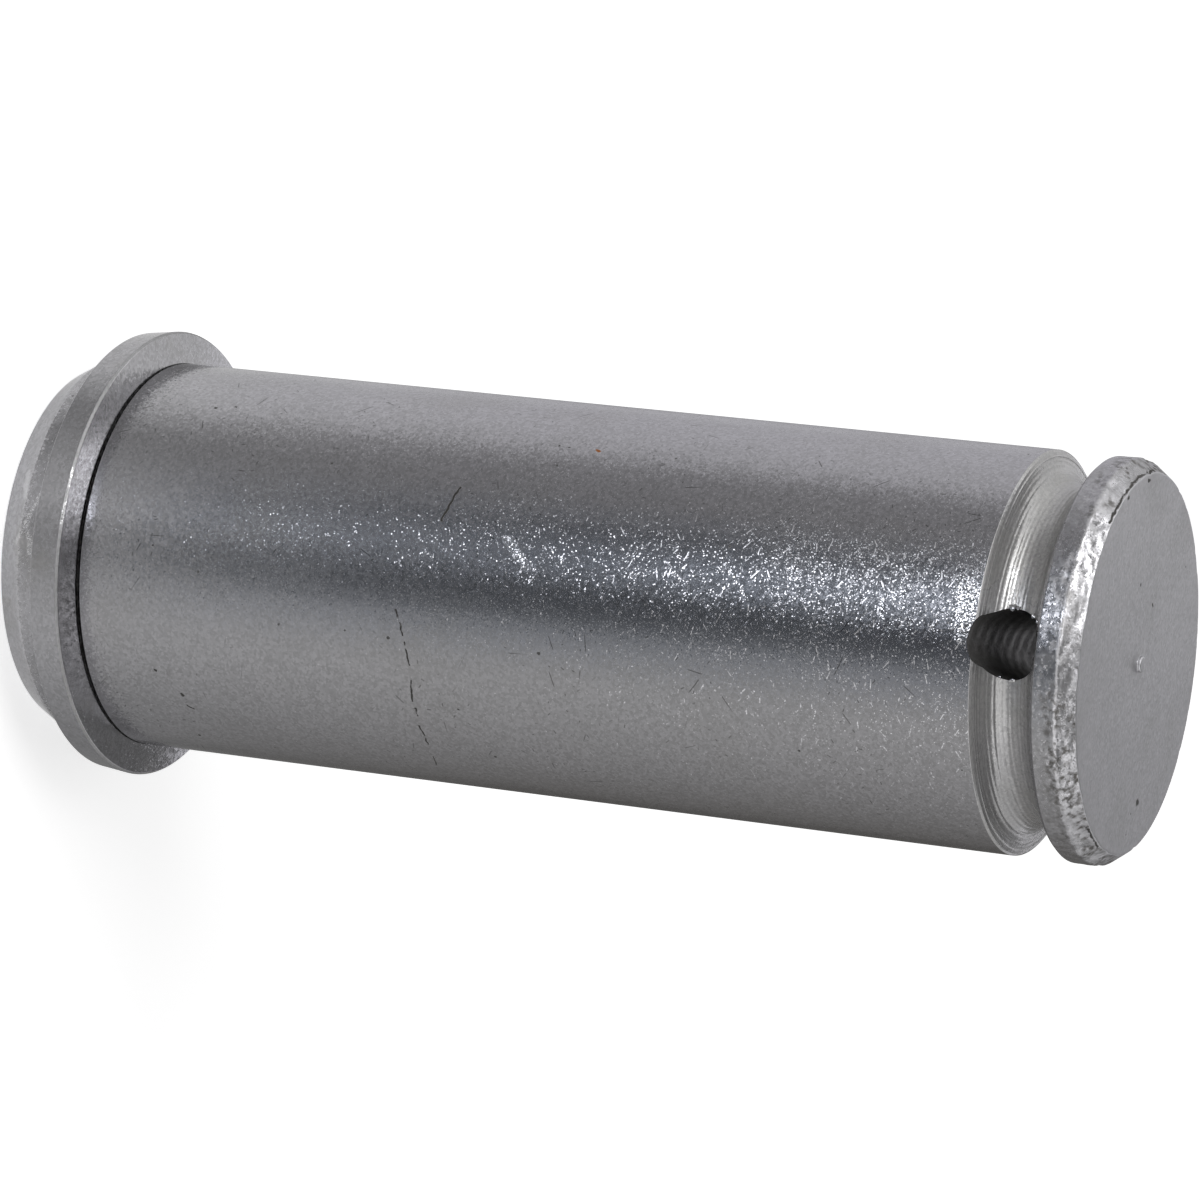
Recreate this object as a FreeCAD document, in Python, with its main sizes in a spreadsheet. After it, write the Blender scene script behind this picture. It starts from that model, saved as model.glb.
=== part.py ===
import FreeCAD, Part

import math
import os

import Sketcher

# Clevis pin, turned in one piece. Millimetres, +Z up.
# The origin is the centre of the head's flat back face, on which the pin stands.
# +Z runs along the turning axis from the head to the tail, and the cross hole runs along Y.

nodeName = "clevis_pin"
fullTurn = 360.0
rootPoint = (-1, 1)   # a sketch's own origin
edgeTolerance = 1e-4
smallestChange = 1e-6

# Driving dimensions: name, size, what it measures
sizeRows = (
    ("shankDiameter", 25.0, "shank, tail disc, and boss behind the collar"),
    ("gripLength", 60.0, "foot of the collar to the near lip of the clip groove"),
    ("bossLength", 3.6, "boss behind the collar, with its chamfer"),
    ("bossFaceDiameter", 23.2, "flat back face inside the chamfer"),
    ("bossChamferLength", 1.6, "chamfer of the boss, along the axis"),
    ("collarThickness", 2.4, "back of the collar to the foot of its front face"),
    ("collarBackDiameter", 28.6, "collar rim at the back"),
    ("collarFrontDiameter", 29.1, "collar rim at the front, at its widest"),
    ("collarFall", 0.3, "how far the front face leans back from its foot to the rim"),
    ("collarEdgeBreak", 0.15, "bevel round the front of the rim"),
    ("reliefWidth", 0.25, "relief cut at the foot of the collar, along the axis"),
    ("reliefDepth", 0.3, "relief cut, into the shank"),
    ("grooveWidth", 4.0, "clip groove, lip to lip"),
    ("grooveDiameter", 20.8, "bottom of the clip groove's round floor"),
    ("lipBreak", 0.25, "bevel on the two lips of the clip groove"),
    ("crossHoleDiameter", 4.3, "hole through the clip groove"),
    ("crossHoleSetback", 1.8, "near lip of the groove to the hole's axis"),
    ("discThickness", 2.5, "tail disc, groove to end face"),
    ("endFaceDiameter", 23.3, "flat end face inside its chamfer"),
    ("endChamferLength", 1.05, "chamfer of the tail disc, along the axis"),
    ("pipDiameter", 1.0, "pip left on the end face where the pin was parted off"),
    ("pipHeight", 0.25, "how far the pip stands proud"),
    ("pipRound", 0.12, "rounding of the pip's top edge"),
    ("cutterClearance", 1.0, "how far a groove's outline stands clear of the shank"),
)

# Stations along the axis, and radii, as expressions on the sheet
axis = "0"
backFace = "0"
chamferEnd = "Sizes.bossChamferLength"
collarBack = "Sizes.bossLength"
collarFoot = f"{collarBack} + Sizes.collarThickness"
collarRim = f"{collarFoot} - Sizes.collarFall"
collarWidest = f"{collarRim} - Sizes.collarEdgeBreak"
reliefEnd = f"{collarFoot} + Sizes.reliefWidth"
grooveStart = f"{collarFoot} + Sizes.gripLength"
holeAxis = f"{grooveStart} + Sizes.crossHoleSetback"
grooveEnd = f"{grooveStart} + Sizes.grooveWidth"
grooveNearWall = f"{grooveStart} + Sizes.lipBreak"
grooveFarWall = f"{grooveEnd} - Sizes.lipBreak"
endFace = f"{grooveEnd} + Sizes.discThickness"
endChamferStart = f"{endFace} - Sizes.endChamferLength"
pipRoot = f"{endFace} - Sizes.pipHeight"
pipTop = f"{endFace} + Sizes.pipHeight"

shankRadius = "Sizes.shankDiameter / 2"
bossFaceRadius = "Sizes.bossFaceDiameter / 2"
collarBackRadius = "Sizes.collarBackDiameter / 2"
collarFrontRadius = "Sizes.collarFrontDiameter / 2"
collarFaceRadius = f"{collarFrontRadius} - Sizes.collarEdgeBreak"
grooveFloorArc = "(Sizes.grooveWidth / 2 - Sizes.lipBreak)"
grooveArcCentre = f"Sizes.grooveDiameter / 2 + {grooveFloorArc}"
reliefRadius = f"{shankRadius} - Sizes.reliefDepth"
clearRadius = f"{shankRadius} + Sizes.cutterClearance"
endFaceRadius = "Sizes.endFaceDiameter / 2"
pipRadius = "Sizes.pipDiameter / 2"


def fillSheet(doc):
    sheet = doc.addObject("Spreadsheet::Sheet", "Sizes")
    for row, (alias, value, note) in enumerate(sizeRows, start=1):
        sheet.set(f"A{row}", alias)
        sheet.set(f"B{row}", str(value))
        sheet.set(f"C{row}", note)
        sheet.setAlias(f"B{row}", alias)
    doc.recompute()


def originItem(body, role):
    return next(item for item in body.Origin.OriginFeatures if item.Role == role)


def newSketch(body, name):
    # every sketch lies in the plane of the turning axis: its x is a radius, its y a height
    sketch = body.newObject("Sketcher::SketchObject", name)
    sketch.AttachmentSupport = [(originItem(body, "XZ_Plane"), "")]
    sketch.MapMode = "FlatFace"
    return sketch


def bindSize(sketch, kind, name, expression, *places):
    # a named dimension that follows the sheet
    value = sketch.evalExpression(expression)
    index = sketch.addConstraint(Sketcher.Constraint(kind, *places, value))
    sketch.renameConstraint(index, name)
    sketch.setExpression(f"Constraints.{name}", expression)


def holdPoint(sketch, label, line, end, radius, height):
    # a point on an axis is held to it, any other by a distance bound to the sheet
    xAxis, yAxis = -1, -2
    for kind, expression, axisLine in (("DistanceX", radius, yAxis), ("DistanceY", height, xAxis)):
        if expression == "0":
            sketch.addConstraint(Sketcher.Constraint("PointOnObject", line, end, axisLine))
            continue
        name = label + ("Radius" if kind == "DistanceX" else "Height")
        bindSize(sketch, kind, name, expression, *rootPoint, line, end)


def drawOutline(sketch, corners):
    # a closed outline through the named corners, each held by its radius and height
    startPoint, endPoint = 1, 2
    points = []
    for label, radius, height in corners:
        across = sketch.evalExpression(radius)
        up = sketch.evalExpression(height)
        points.append(FreeCAD.Vector(across, up, 0))
    count = len(points)
    for index, point in enumerate(points):
        sketch.addGeometry(Part.LineSegment(point, points[(index + 1) % count]), False)
    for index in range(count):
        following = (index + 1) % count
        sketch.addConstraint(Sketcher.Constraint("Coincident", index, endPoint, following, startPoint))
    for index, (label, radius, height) in enumerate(corners):
        holdPoint(sketch, label, index, startPoint, radius, height)


def drawRoundGroove(sketch):
    # two straight walls and a round floor that is tangent to both
    startPoint, endPoint, centrePoint = 1, 2, 3
    mouth = sketch.evalExpression(clearRadius)
    centre = sketch.evalExpression(grooveArcCentre)
    near = sketch.evalExpression(grooveNearWall)
    far = sketch.evalExpression(grooveFarWall)
    nearMouth, farMouth = FreeCAD.Vector(mouth, near, 0), FreeCAD.Vector(mouth, far, 0)
    nearFloor, farFloor = FreeCAD.Vector(centre, near, 0), FreeCAD.Vector(centre, far, 0)
    circle = Part.Circle((nearFloor + farFloor) / 2, FreeCAD.Vector(0, 0, 1), (far - near) / 2)
    halfTurn = (math.pi / 2, 3 * math.pi / 2)

    nearWall = sketch.addGeometry(Part.LineSegment(nearFloor, nearMouth), False)
    opening = sketch.addGeometry(Part.LineSegment(nearMouth, farMouth), False)
    farWall = sketch.addGeometry(Part.LineSegment(farMouth, farFloor), False)
    floor = sketch.addGeometry(Part.ArcOfCircle(circle, *halfTurn), False)
    for constraint in (
        ("Coincident", nearWall, endPoint, opening, startPoint),
        ("Coincident", opening, endPoint, farWall, startPoint),
        ("Tangent", farWall, endPoint, floor, startPoint),
        ("Tangent", floor, endPoint, nearWall, startPoint),
        ("Horizontal", nearWall),
        ("Horizontal", farWall),
    ):
        sketch.addConstraint(Sketcher.Constraint(*constraint))
    holdPoint(sketch, "nearMouth", opening, startPoint, clearRadius, grooveNearWall)
    holdPoint(sketch, "farMouth", opening, endPoint, clearRadius, grooveFarWall)
    bindSize(sketch, "DistanceX", "centreRadius", grooveArcCentre, *rootPoint, floor, centrePoint)


def drawPolygon(corners):
    return lambda sketch: drawOutline(sketch, corners)


def turned(body, kind, name, draw):
    # a full turn of an outline about the axis: kind is Revolution to add, Groove to cut
    sketch = newSketch(body, name + "Outline")
    draw(sketch)
    feature = body.newObject(f"PartDesign::{kind}", name)
    feature.Profile = sketch
    feature.ReferenceAxis = (sketch, ["V_Axis"])
    feature.Angle = fullTurn
    body.Document.recompute()
    return feature


def ringEdges(feature, rings):
    # names of the circular edges that have the given radii and heights
    names = []
    for radius, height in rings:
        wantedRadius = feature.evalExpression(radius)
        wantedHeight = feature.evalExpression(height)
        for index, edge in enumerate(feature.Shape.Edges, start=1):
            curve = edge.Curve
            if not isinstance(curve, Part.Circle):
                continue
            radiusOff = abs(curve.Radius - wantedRadius)
            heightOff = abs(curve.Center.z - wantedHeight)
            if max(radiusOff, heightOff) < edgeTolerance:
                names.append(f"Edge{index}")
    if len(names) < len(rings):
        raise RuntimeError(f"an edge to dress is missing on {feature.Name}")
    return names


def dressed(body, kind, name, base, rings, sizeProperty, sizeExpression):
    feature = body.newObject(f"PartDesign::{kind}", name)
    feature.Base = (base, ringEdges(base, rings))
    feature.setExpression(sizeProperty, sizeExpression)
    body.Document.recompute()
    return feature


def crossHole(body):
    sketch = newSketch(body, "CrossHoleOutline")
    centreHeight = sketch.evalExpression(holeAxis)
    diameter = sketch.evalExpression("Sizes.crossHoleDiameter")
    centre = FreeCAD.Vector(0, centreHeight, 0)
    circle = sketch.addGeometry(Part.Circle(centre, FreeCAD.Vector(0, 0, 1), diameter / 2), False)
    centrePoint = 3
    holdPoint(sketch, "centre", circle, centrePoint, axis, holeAxis)
    bindSize(sketch, "Diameter", "holeDiameter", "Sizes.crossHoleDiameter", circle)
    pocket = body.newObject("PartDesign::Pocket", "CrossHole")
    pocket.Profile = sketch
    pocket.Type = "ThroughAll"
    pocket.Midplane = True
    body.Document.recompute()
    return pocket


def makePin(doc):
    body = doc.addObject("PartDesign::Body", "ClevisPin")
    body.Label = nodeName

    blank = turned(body, "Revolution", "TurnedBlank", drawPolygon((
        ("backCentre", axis, backFace),
        ("backFaceRim", bossFaceRadius, backFace),
        ("bossCorner", shankRadius, chamferEnd),
        ("collarBackFoot", shankRadius, collarBack),
        ("collarBackRim", collarBackRadius, collarBack),
        ("collarWidest", collarFrontRadius, collarWidest),
        ("collarFrontRim", collarFaceRadius, collarRim),
        ("collarFrontFoot", shankRadius, collarFoot),
        ("discCorner", shankRadius, endChamferStart),
        ("endFaceRim", endFaceRadius, endFace),
        ("endCentre", axis, endFace),
    )))

    groove = turned(body, "Groove", "ClipGroove", drawRoundGroove)
    relief = turned(body, "Groove", "CollarRelief", drawPolygon((
        ("nearFloor", reliefRadius, collarFoot),
        ("nearMouth", clearRadius, collarFoot),
        ("farMouth", clearRadius, reliefEnd),
        ("farFloor", reliefRadius, reliefEnd),
    )))

    lips = [(shankRadius, grooveNearWall), (shankRadius, grooveFarWall)]
    lipBreak = dressed(body, "Chamfer", "GrooveLipBreak", relief, lips, "Size", "Sizes.lipBreak")

    # the pip is rooted in the disc, so that the two join
    pip = turned(body, "Revolution", "PartingPip", drawPolygon((
        ("rootCentre", axis, pipRoot),
        ("rootRim", pipRadius, pipRoot),
        ("topRim", pipRadius, pipTop),
        ("topCentre", axis, pipTop),
    )))
    pipEdge = [(pipRadius, pipTop)]
    pipRounding = dressed(body, "Fillet", "PipRounding", pip, pipEdge, "Radius", "Sizes.pipRound")
    hole = crossHole(body)
    return body, (blank, groove, relief, lipBreak, pip, pipRounding, hole)


def checkPin(doc, body, features):
    for item in doc.Objects:
        if "Invalid" in item.State or "Error" in item.State:
            raise RuntimeError(f"{item.Name} failed: {item.State}")
    for earlier, later in zip(features, features[1:]):
        change = later.Shape.Volume - earlier.Shape.Volume
        print(f"{later.Name}: {change:+.3f} cubic mm")
        if abs(change) < smallestChange:
            raise RuntimeError(f"{later.Name} changes nothing")
    shape = body.Shape
    if shape.isNull() or not shape.isValid() or len(shape.Solids) != 1:
        raise RuntimeError("the pin is not one valid solid")
    useTriangulation, useShapeTolerance = True, False
    box = shape.optimalBoundingBox(useTriangulation, useShapeTolerance)
    print(f"box {box.XLength:.2f} x {box.YLength:.2f} x {box.ZLength:.2f}, z from {box.ZMin:.2f}")
    print(f"volume {shape.Volume:.1f} cubic mm, {len(shape.Faces)} faces")


def main():
    doc = FreeCAD.newDocument("ClevisPin")
    fillSheet(doc)
    body, features = makePin(doc)
    doc.recompute()
    checkPin(doc, body, features)
    os.makedirs("parts", exist_ok=True)
    body.Shape.exportStep(f"parts/{body.Label}.step")


main()
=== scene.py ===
import math
import random

import bpy
import numpy as np
from mathutils import Euler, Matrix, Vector, noise


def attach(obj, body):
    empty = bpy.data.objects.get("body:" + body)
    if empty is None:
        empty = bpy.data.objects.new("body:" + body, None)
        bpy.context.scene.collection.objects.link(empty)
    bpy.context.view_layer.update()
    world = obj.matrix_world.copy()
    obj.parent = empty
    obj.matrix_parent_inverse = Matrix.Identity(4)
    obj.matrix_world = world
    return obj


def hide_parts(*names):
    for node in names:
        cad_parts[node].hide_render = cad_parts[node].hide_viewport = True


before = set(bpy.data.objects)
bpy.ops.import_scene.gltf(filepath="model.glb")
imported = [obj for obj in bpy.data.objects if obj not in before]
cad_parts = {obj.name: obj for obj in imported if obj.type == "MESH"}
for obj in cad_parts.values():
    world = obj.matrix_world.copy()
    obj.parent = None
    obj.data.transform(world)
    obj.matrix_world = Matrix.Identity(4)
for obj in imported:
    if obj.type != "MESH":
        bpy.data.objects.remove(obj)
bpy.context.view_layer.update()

# Clevis pin in dull zinc plating. It stands on its head at the frame's origin, tail up.
# Sizes are in millimetres and become metres where a mesh or the camera is made. Only the lamp, the flat
# cards and the floor have theirs in metres.
# An azimuth is in degrees round the pin, from the front (-Y) towards +X.

mm = 0.001
shankRadius = 12.5
endFace = 72.5
tiny = 1e-6


# Helpers

def polar(radius, azimuth, height):
    turn = math.radians(azimuth)
    return Vector((radius * math.sin(turn), -radius * math.cos(turn), height))


def onDome(distance, azimuth, elevation):
    rise = math.radians(elevation)
    return polar(distance * math.cos(rise), azimuth, distance * math.sin(rise))


def makeMesh(name, points, faces, materials=()):
    mesh = bpy.data.meshes.new(name)
    mesh.from_pydata([tuple(p) for p in points], [], faces)
    for material in materials:
        mesh.materials.append(material)
    mesh.update()
    obj = bpy.data.objects.new(name, mesh)
    bpy.context.scene.collection.objects.link(obj)
    return obj


def newMaterial(name):
    material = bpy.data.materials.new(name)
    material.use_nodes = True
    material.node_tree.nodes.clear()
    return material, material.node_tree


def add(tree, kind, inputs=None, **settings):
    node = tree.nodes.new(kind)
    for key, value in settings.items():
        setattr(node, key, value)
    for key, value in (inputs or {}).items():
        if isinstance(value, bpy.types.NodeSocket):
            tree.links.new(value, node.inputs[key])
        else:
            node.inputs[key].default_value = value
    return node


def effect(tree, group, **inputs):
    return add(tree, "ShaderNodeGroup", inputs, node_tree=group).outputs


def calc(tree, operation, *values, clamp=False):
    inputs = dict(enumerate(values))
    return add(tree, "ShaderNodeMath", inputs, operation=operation, use_clamp=clamp).outputs[0]


def vector(tree, operation, *values):
    node = add(tree, "ShaderNodeVectorMath", dict(enumerate(values)), operation=operation)
    return node.outputs["Value" if operation in ("DOT_PRODUCT", "LENGTH", "DISTANCE") else "Vector"]


def scaled(tree, value, factor):
    return add(tree, "ShaderNodeVectorMath", {0: value, "Scale": factor}, operation="SCALE").outputs[0]


def combined(tree, x=0.0, y=0.0, z=0.0):
    return add(tree, "ShaderNodeCombineXYZ", {0: x, 1: y, 2: z}).outputs[0]


def channels(tree, color):
    return add(tree, "ShaderNodeSeparateColor", {0: color}).outputs


def ramp(tree, value, low, high, toLow=0.0, toHigh=1.0):
    inputs = {"Value": value, "From Min": low, "From Max": high, "To Min": toLow, "To Max": toHigh}
    return add(tree, "ShaderNodeMapRange", inputs, interpolation_type="SMOOTHSTEP").outputs["Result"]


def mixColor(tree, factor, a, b):
    a, b = (value if isinstance(value, bpy.types.NodeSocket) else (*value, 1.0) for value in (a, b))
    return add(tree, "ShaderNodeMix", {0: factor, 6: a, 7: b}, data_type="RGBA").outputs[2]


def newGroup(name, inputs, outputs):
    tree = bpy.data.node_groups.new(name, "ShaderNodeTree")
    for label, value in inputs.items():
        kind = "NodeSocketVector" if isinstance(value, tuple) else "NodeSocketFloat"
        socket = tree.interface.new_socket(label, in_out="INPUT", socket_type=kind)
        socket.default_value = value
    for label in outputs:
        kind = "NodeSocketVector" if label == "Normal" else "NodeSocketFloat"
        tree.interface.new_socket(label, in_out="OUTPUT", socket_type=kind)
    return tree, add(tree, "NodeGroupInput").outputs, add(tree, "NodeGroupOutput").inputs


# Effects that several finishes share

def placeOf(tree):
    return add(tree, "ShaderNodeTexCoord").outputs["Object"]


def cells(tree, spot, dimensions="3D"):
    inputs = {"Vector": spot, "Scale": 1.0}
    return add(tree, "ShaderNodeTexVoronoi", inputs, voronoi_dimensions=dimensions).outputs


def unrolledGroup():
    # where a point lies, in millimetres: round the pin, measured on the shank, and along it
    tree, _, result = newGroup("unrolled", {}, ("Around", "Along"))
    xyz = add(tree, "ShaderNodeSeparateXYZ", {0: scaled(tree, placeOf(tree), 1 / mm)}).outputs
    turn = calc(tree, "ARCTAN2", xyz[0], calc(tree, "MULTIPLY", xyz[1], -1.0))
    tree.links.new(calc(tree, "MULTIPLY", turn, shankRadius), result["Around"])
    tree.links.new(xyz[2], result["Along"])
    return tree


def facetGroup():
    # plating crystals: each small cell leans its own way, and smaller ones among them lean far
    inputs = {"Cell": 0.17, "Lean": 0.05, "Steep": 0.2, "Share": 0.3}
    tree, given, result = newGroup("platingFacets", inputs, ("Normal", "Shade"))
    place = placeOf(tree)
    normal = add(tree, "ShaderNodeNewGeometry").outputs["Normal"]
    for finer, slope, sideways in ((1.0, given["Lean"], 0.5), (2.5, given["Steep"], 0.6)):
        cell = cells(tree, scaled(tree, place, calc(tree, "DIVIDE", finer / mm, given["Cell"])))
        lean = vector(tree, "SUBTRACT", cell["Color"], (0.5,) * 3)
        lean = vector(tree, "MULTIPLY", lean, (2.0 * sideways, 2.0 * sideways, 2.0))
        if finer == 1.0:
            shade = channels(tree, cell["Color"])[0]
        else:
            chance = add(tree, "ShaderNodeTexWhiteNoise", {"Vector": cell["Position"]}).outputs["Value"]
            slope = calc(tree, "MULTIPLY", slope, calc(tree, "LESS_THAN", chance, given["Share"]))
        normal = vector(tree, "ADD", normal, scaled(tree, lean, slope))
    tree.links.new(vector(tree, "NORMALIZE", normal), result["Normal"])
    tree.links.new(shade, result["Shade"])
    return tree


def dashGroup(unrolled):
    # scratches: one straight or slightly bent dash in some of the cells, each at its own angle
    inputs = {"Cell": 2.0, "Width": 0.05, "Length": 0.7, "Share": 0.4, "Turn": 3.14, "Seed": 0.0}
    tree, given, result = newGroup("scratchDashes", inputs, ("Mask",))
    place = effect(tree, unrolled)
    around, along = (calc(tree, "ADD", calc(tree, "DIVIDE", place[way], given["Cell"]), given["Seed"])
                     for way in ("Around", "Along"))
    spot = combined(tree, around, along)
    cell = cells(tree, spot, "2D")
    offset = vector(tree, "SUBTRACT", spot, cell["Position"])
    chance = channels(tree, cell["Color"])
    angle = calc(tree, "MULTIPLY", calc(tree, "SUBTRACT", chance[0], 0.5), given["Turn"])
    cosine, sine = calc(tree, "COSINE", angle), calc(tree, "SINE", angle)
    lengthways = vector(tree, "DOT_PRODUCT", offset, combined(tree, cosine, sine))
    sideways = combined(tree, calc(tree, "MULTIPLY", sine, -1.0), cosine)
    bend = calc(tree, "MULTIPLY", calc(tree, "SUBTRACT", chance[2], 0.5), 0.25)
    bow = calc(tree, "MULTIPLY", calc(tree, "MULTIPLY", lengthways, lengthways), bend)
    across = calc(tree, "ADD", vector(tree, "DOT_PRODUCT", offset, sideways), bow)
    width = calc(tree, "DIVIDE", given["Width"], given["Cell"])
    reach = calc(tree, "MULTIPLY", calc(tree, "MULTIPLY_ADD", chance[2], 0.35, 0.2), given["Length"])
    ends = ramp(tree, calc(tree, "DIVIDE", calc(tree, "ABSOLUTE", lengthways), reach), 0.6, 1.0, 1.0, 0.0)
    edge = ramp(tree, calc(tree, "DIVIDE", calc(tree, "ABSOLUTE", across), width), 0.25, 0.6, 1.0, 0.0)
    present = calc(tree, "LESS_THAN", chance[1], given["Share"])
    tree.links.new(calc(tree, "MULTIPLY", calc(tree, "MULTIPLY", ends, edge), present), result["Mask"])
    return tree


def pitGroup():
    # small ragged pits, one in some of the cells
    inputs = {"Cell": 1.5, "Radius": 0.1, "Share": 0.3}
    tree, given, result = newGroup("pits", inputs, ("Mask",))
    place = placeOf(tree)
    texture = add(tree, "ShaderNodeTexNoise", {"Vector": place, "Scale": 6000.0, "Detail": 1.0})
    ragged = scaled(tree, texture.outputs["Color"], calc(tree, "DIVIDE", 0.12, given["Cell"]))
    spot = scaled(tree, place, calc(tree, "DIVIDE", 1 / mm, given["Cell"]))
    cell = cells(tree, vector(tree, "ADD", spot, ragged))
    chance = channels(tree, cell["Color"])
    size = calc(tree, "DIVIDE", given["Radius"], given["Cell"])
    size = calc(tree, "MULTIPLY", size, calc(tree, "ADD", chance[1], 0.5))
    inside = ramp(tree, calc(tree, "DIVIDE", cell["Distance"], size), 0.6, 1.0, 1.0, 0.0)
    present = calc(tree, "LESS_THAN", chance[0], given["Share"])
    tree.links.new(calc(tree, "MULTIPLY", inside, present), result["Mask"])
    return tree


def cloudGroup():
    # soft patches, from 0 to 1
    inputs = {"Size": 4.0, "Low": 0.35, "High": 0.65, "Detail": 3.0}
    tree, given, result = newGroup("clouds", inputs, ("Value",))
    scale = calc(tree, "DIVIDE", 1 / mm, given["Size"])
    inputs = {"Vector": placeOf(tree), "Scale": scale, "Detail": given["Detail"]}
    texture = add(tree, "ShaderNodeTexNoise", inputs)
    tree.links.new(ramp(tree, texture.outputs[0], given["Low"], given["High"]), result["Value"])
    return tree


def strokeGroup():
    # one mark from a first to a second place in millimetres, wavy and with soft edges
    inputs = {"From": (0.0, 0.0, 0.0), "To": (1.0, 0.0, 0.0), "Width": 0.1}
    tree, given, result = newGroup("stroke", inputs, ("Mask",))
    spot = scaled(tree, placeOf(tree), 1 / mm)
    wave = add(tree, "ShaderNodeTexNoise", {"Vector": spot, "Scale": 1.6, "Detail": 3.0}).outputs["Color"]
    wave = vector(tree, "MULTIPLY", vector(tree, "SUBTRACT", wave, (0.5,) * 3), (0.4,) * 3)
    line = vector(tree, "SUBTRACT", given["To"], given["From"])
    offset = vector(tree, "SUBTRACT", vector(tree, "ADD", spot, wave), given["From"])
    lengthways, whole = (vector(tree, "DOT_PRODUCT", way, line) for way in (offset, line))
    nearest = scaled(tree, line, calc(tree, "DIVIDE", lengthways, whole, clamp=True))
    away = vector(tree, "DISTANCE", offset, nearest)
    tree.links.new(ramp(tree, calc(tree, "DIVIDE", away, given["Width"]), 0.3, 0.7, 1.0, 0.0), result["Mask"])
    return tree


unrolled = unrolledGroup()
platingFacets = facetGroup()
scratchDashes = dashGroup(unrolled)
pits = pitGroup()
clouds = cloudGroup()
stroke = strokeGroup()
print("effects ready")


# Finishes

wearAndGlintTones = {
    "gap": (0.2, 0.2, 0.2),              # between the plating's crystals
    "hair": (0.09, 0.09, 0.088),
    "bareAndGlint": (0.62, 0.62, 0.63),
    "grime": (0.08, 0.075, 0.068),
    "pit": (0.035, 0.033, 0.03),
    "rust": (0.3, 0.11, 0.03),
}


def markMask(tree, marks):
    # the listed marks together, each from one (azimuth, height) to another with a width,
    # and with a radius where it lies elsewhere than on the shank
    total = 0.0
    for (fromAzimuth, fromHeight), (toAzimuth, toHeight), width, *radius in marks:
        out = radius[0] if radius else shankRadius
        ends = {"From": polar(out, fromAzimuth, fromHeight), "To": polar(out, toAzimuth, toHeight)}
        total = calc(tree, "MAXIMUM", total, effect(tree, stroke, Width=width, **ends)["Mask"])
    return total


def grimeMask(tree, place, look):
    # dirt from a height up, thinner where the front is rubbed
    grime = calc(tree, "MULTIPLY",
                 effect(tree, clouds, Size=0.4, Low=0.42, High=0.66, Detail=6.0)["Value"],
                 effect(tree, clouds, Size=2.5, Low=0.38, High=0.55)["Value"])
    reach = calc(tree, "MULTIPLY", ramp(tree, place["Along"], *look["grimeFrom"]), look["grime"])
    rubbed = calc(tree, "ABSOLUTE", calc(tree, "ADD", place["Around"], 3.5))
    grime = calc(tree, "MULTIPLY", grime, reach)
    return calc(tree, "MULTIPLY", grime, ramp(tree, rubbed, 4.0, 8.0, 0.25, 1.0))


def scuffMask(tree, look):
    # short scuffs, in two sizes
    cell, width, share = look["scuffCell"], look["scuffWidth"], look["scuffShare"]
    coarse = effect(tree, scratchDashes, Cell=cell, Width=width, Length=1.0, Share=share, Turn=1.5, Seed=3.7)
    fine = effect(tree, scratchDashes, Cell=cell * 0.45, Width=width * 0.6, Length=0.9, Share=share * 0.5,
                  Turn=2.2, Seed=8.1)
    return calc(tree, "MAXIMUM", coarse["Mask"], fine["Mask"])


def hairMask(tree, look):
    # fine dark scratches and shorter specks, in clusters
    cell, share = look["hairCell"], look["hairShare"]
    hairs = effect(tree, scratchDashes, Cell=cell, Width=0.08, Length=0.6, Share=share, Seed=11.3)
    specks = effect(tree, scratchDashes, Cell=cell * 0.4, Width=0.08, Length=0.35, Share=share, Seed=5.9)
    clusters = effect(tree, clouds, Size=6.0, Low=0.5, High=0.6)["Value"]
    return calc(tree, "MULTIPLY", calc(tree, "MAXIMUM", hairs["Mask"], specks["Mask"]), clusters)


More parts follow.
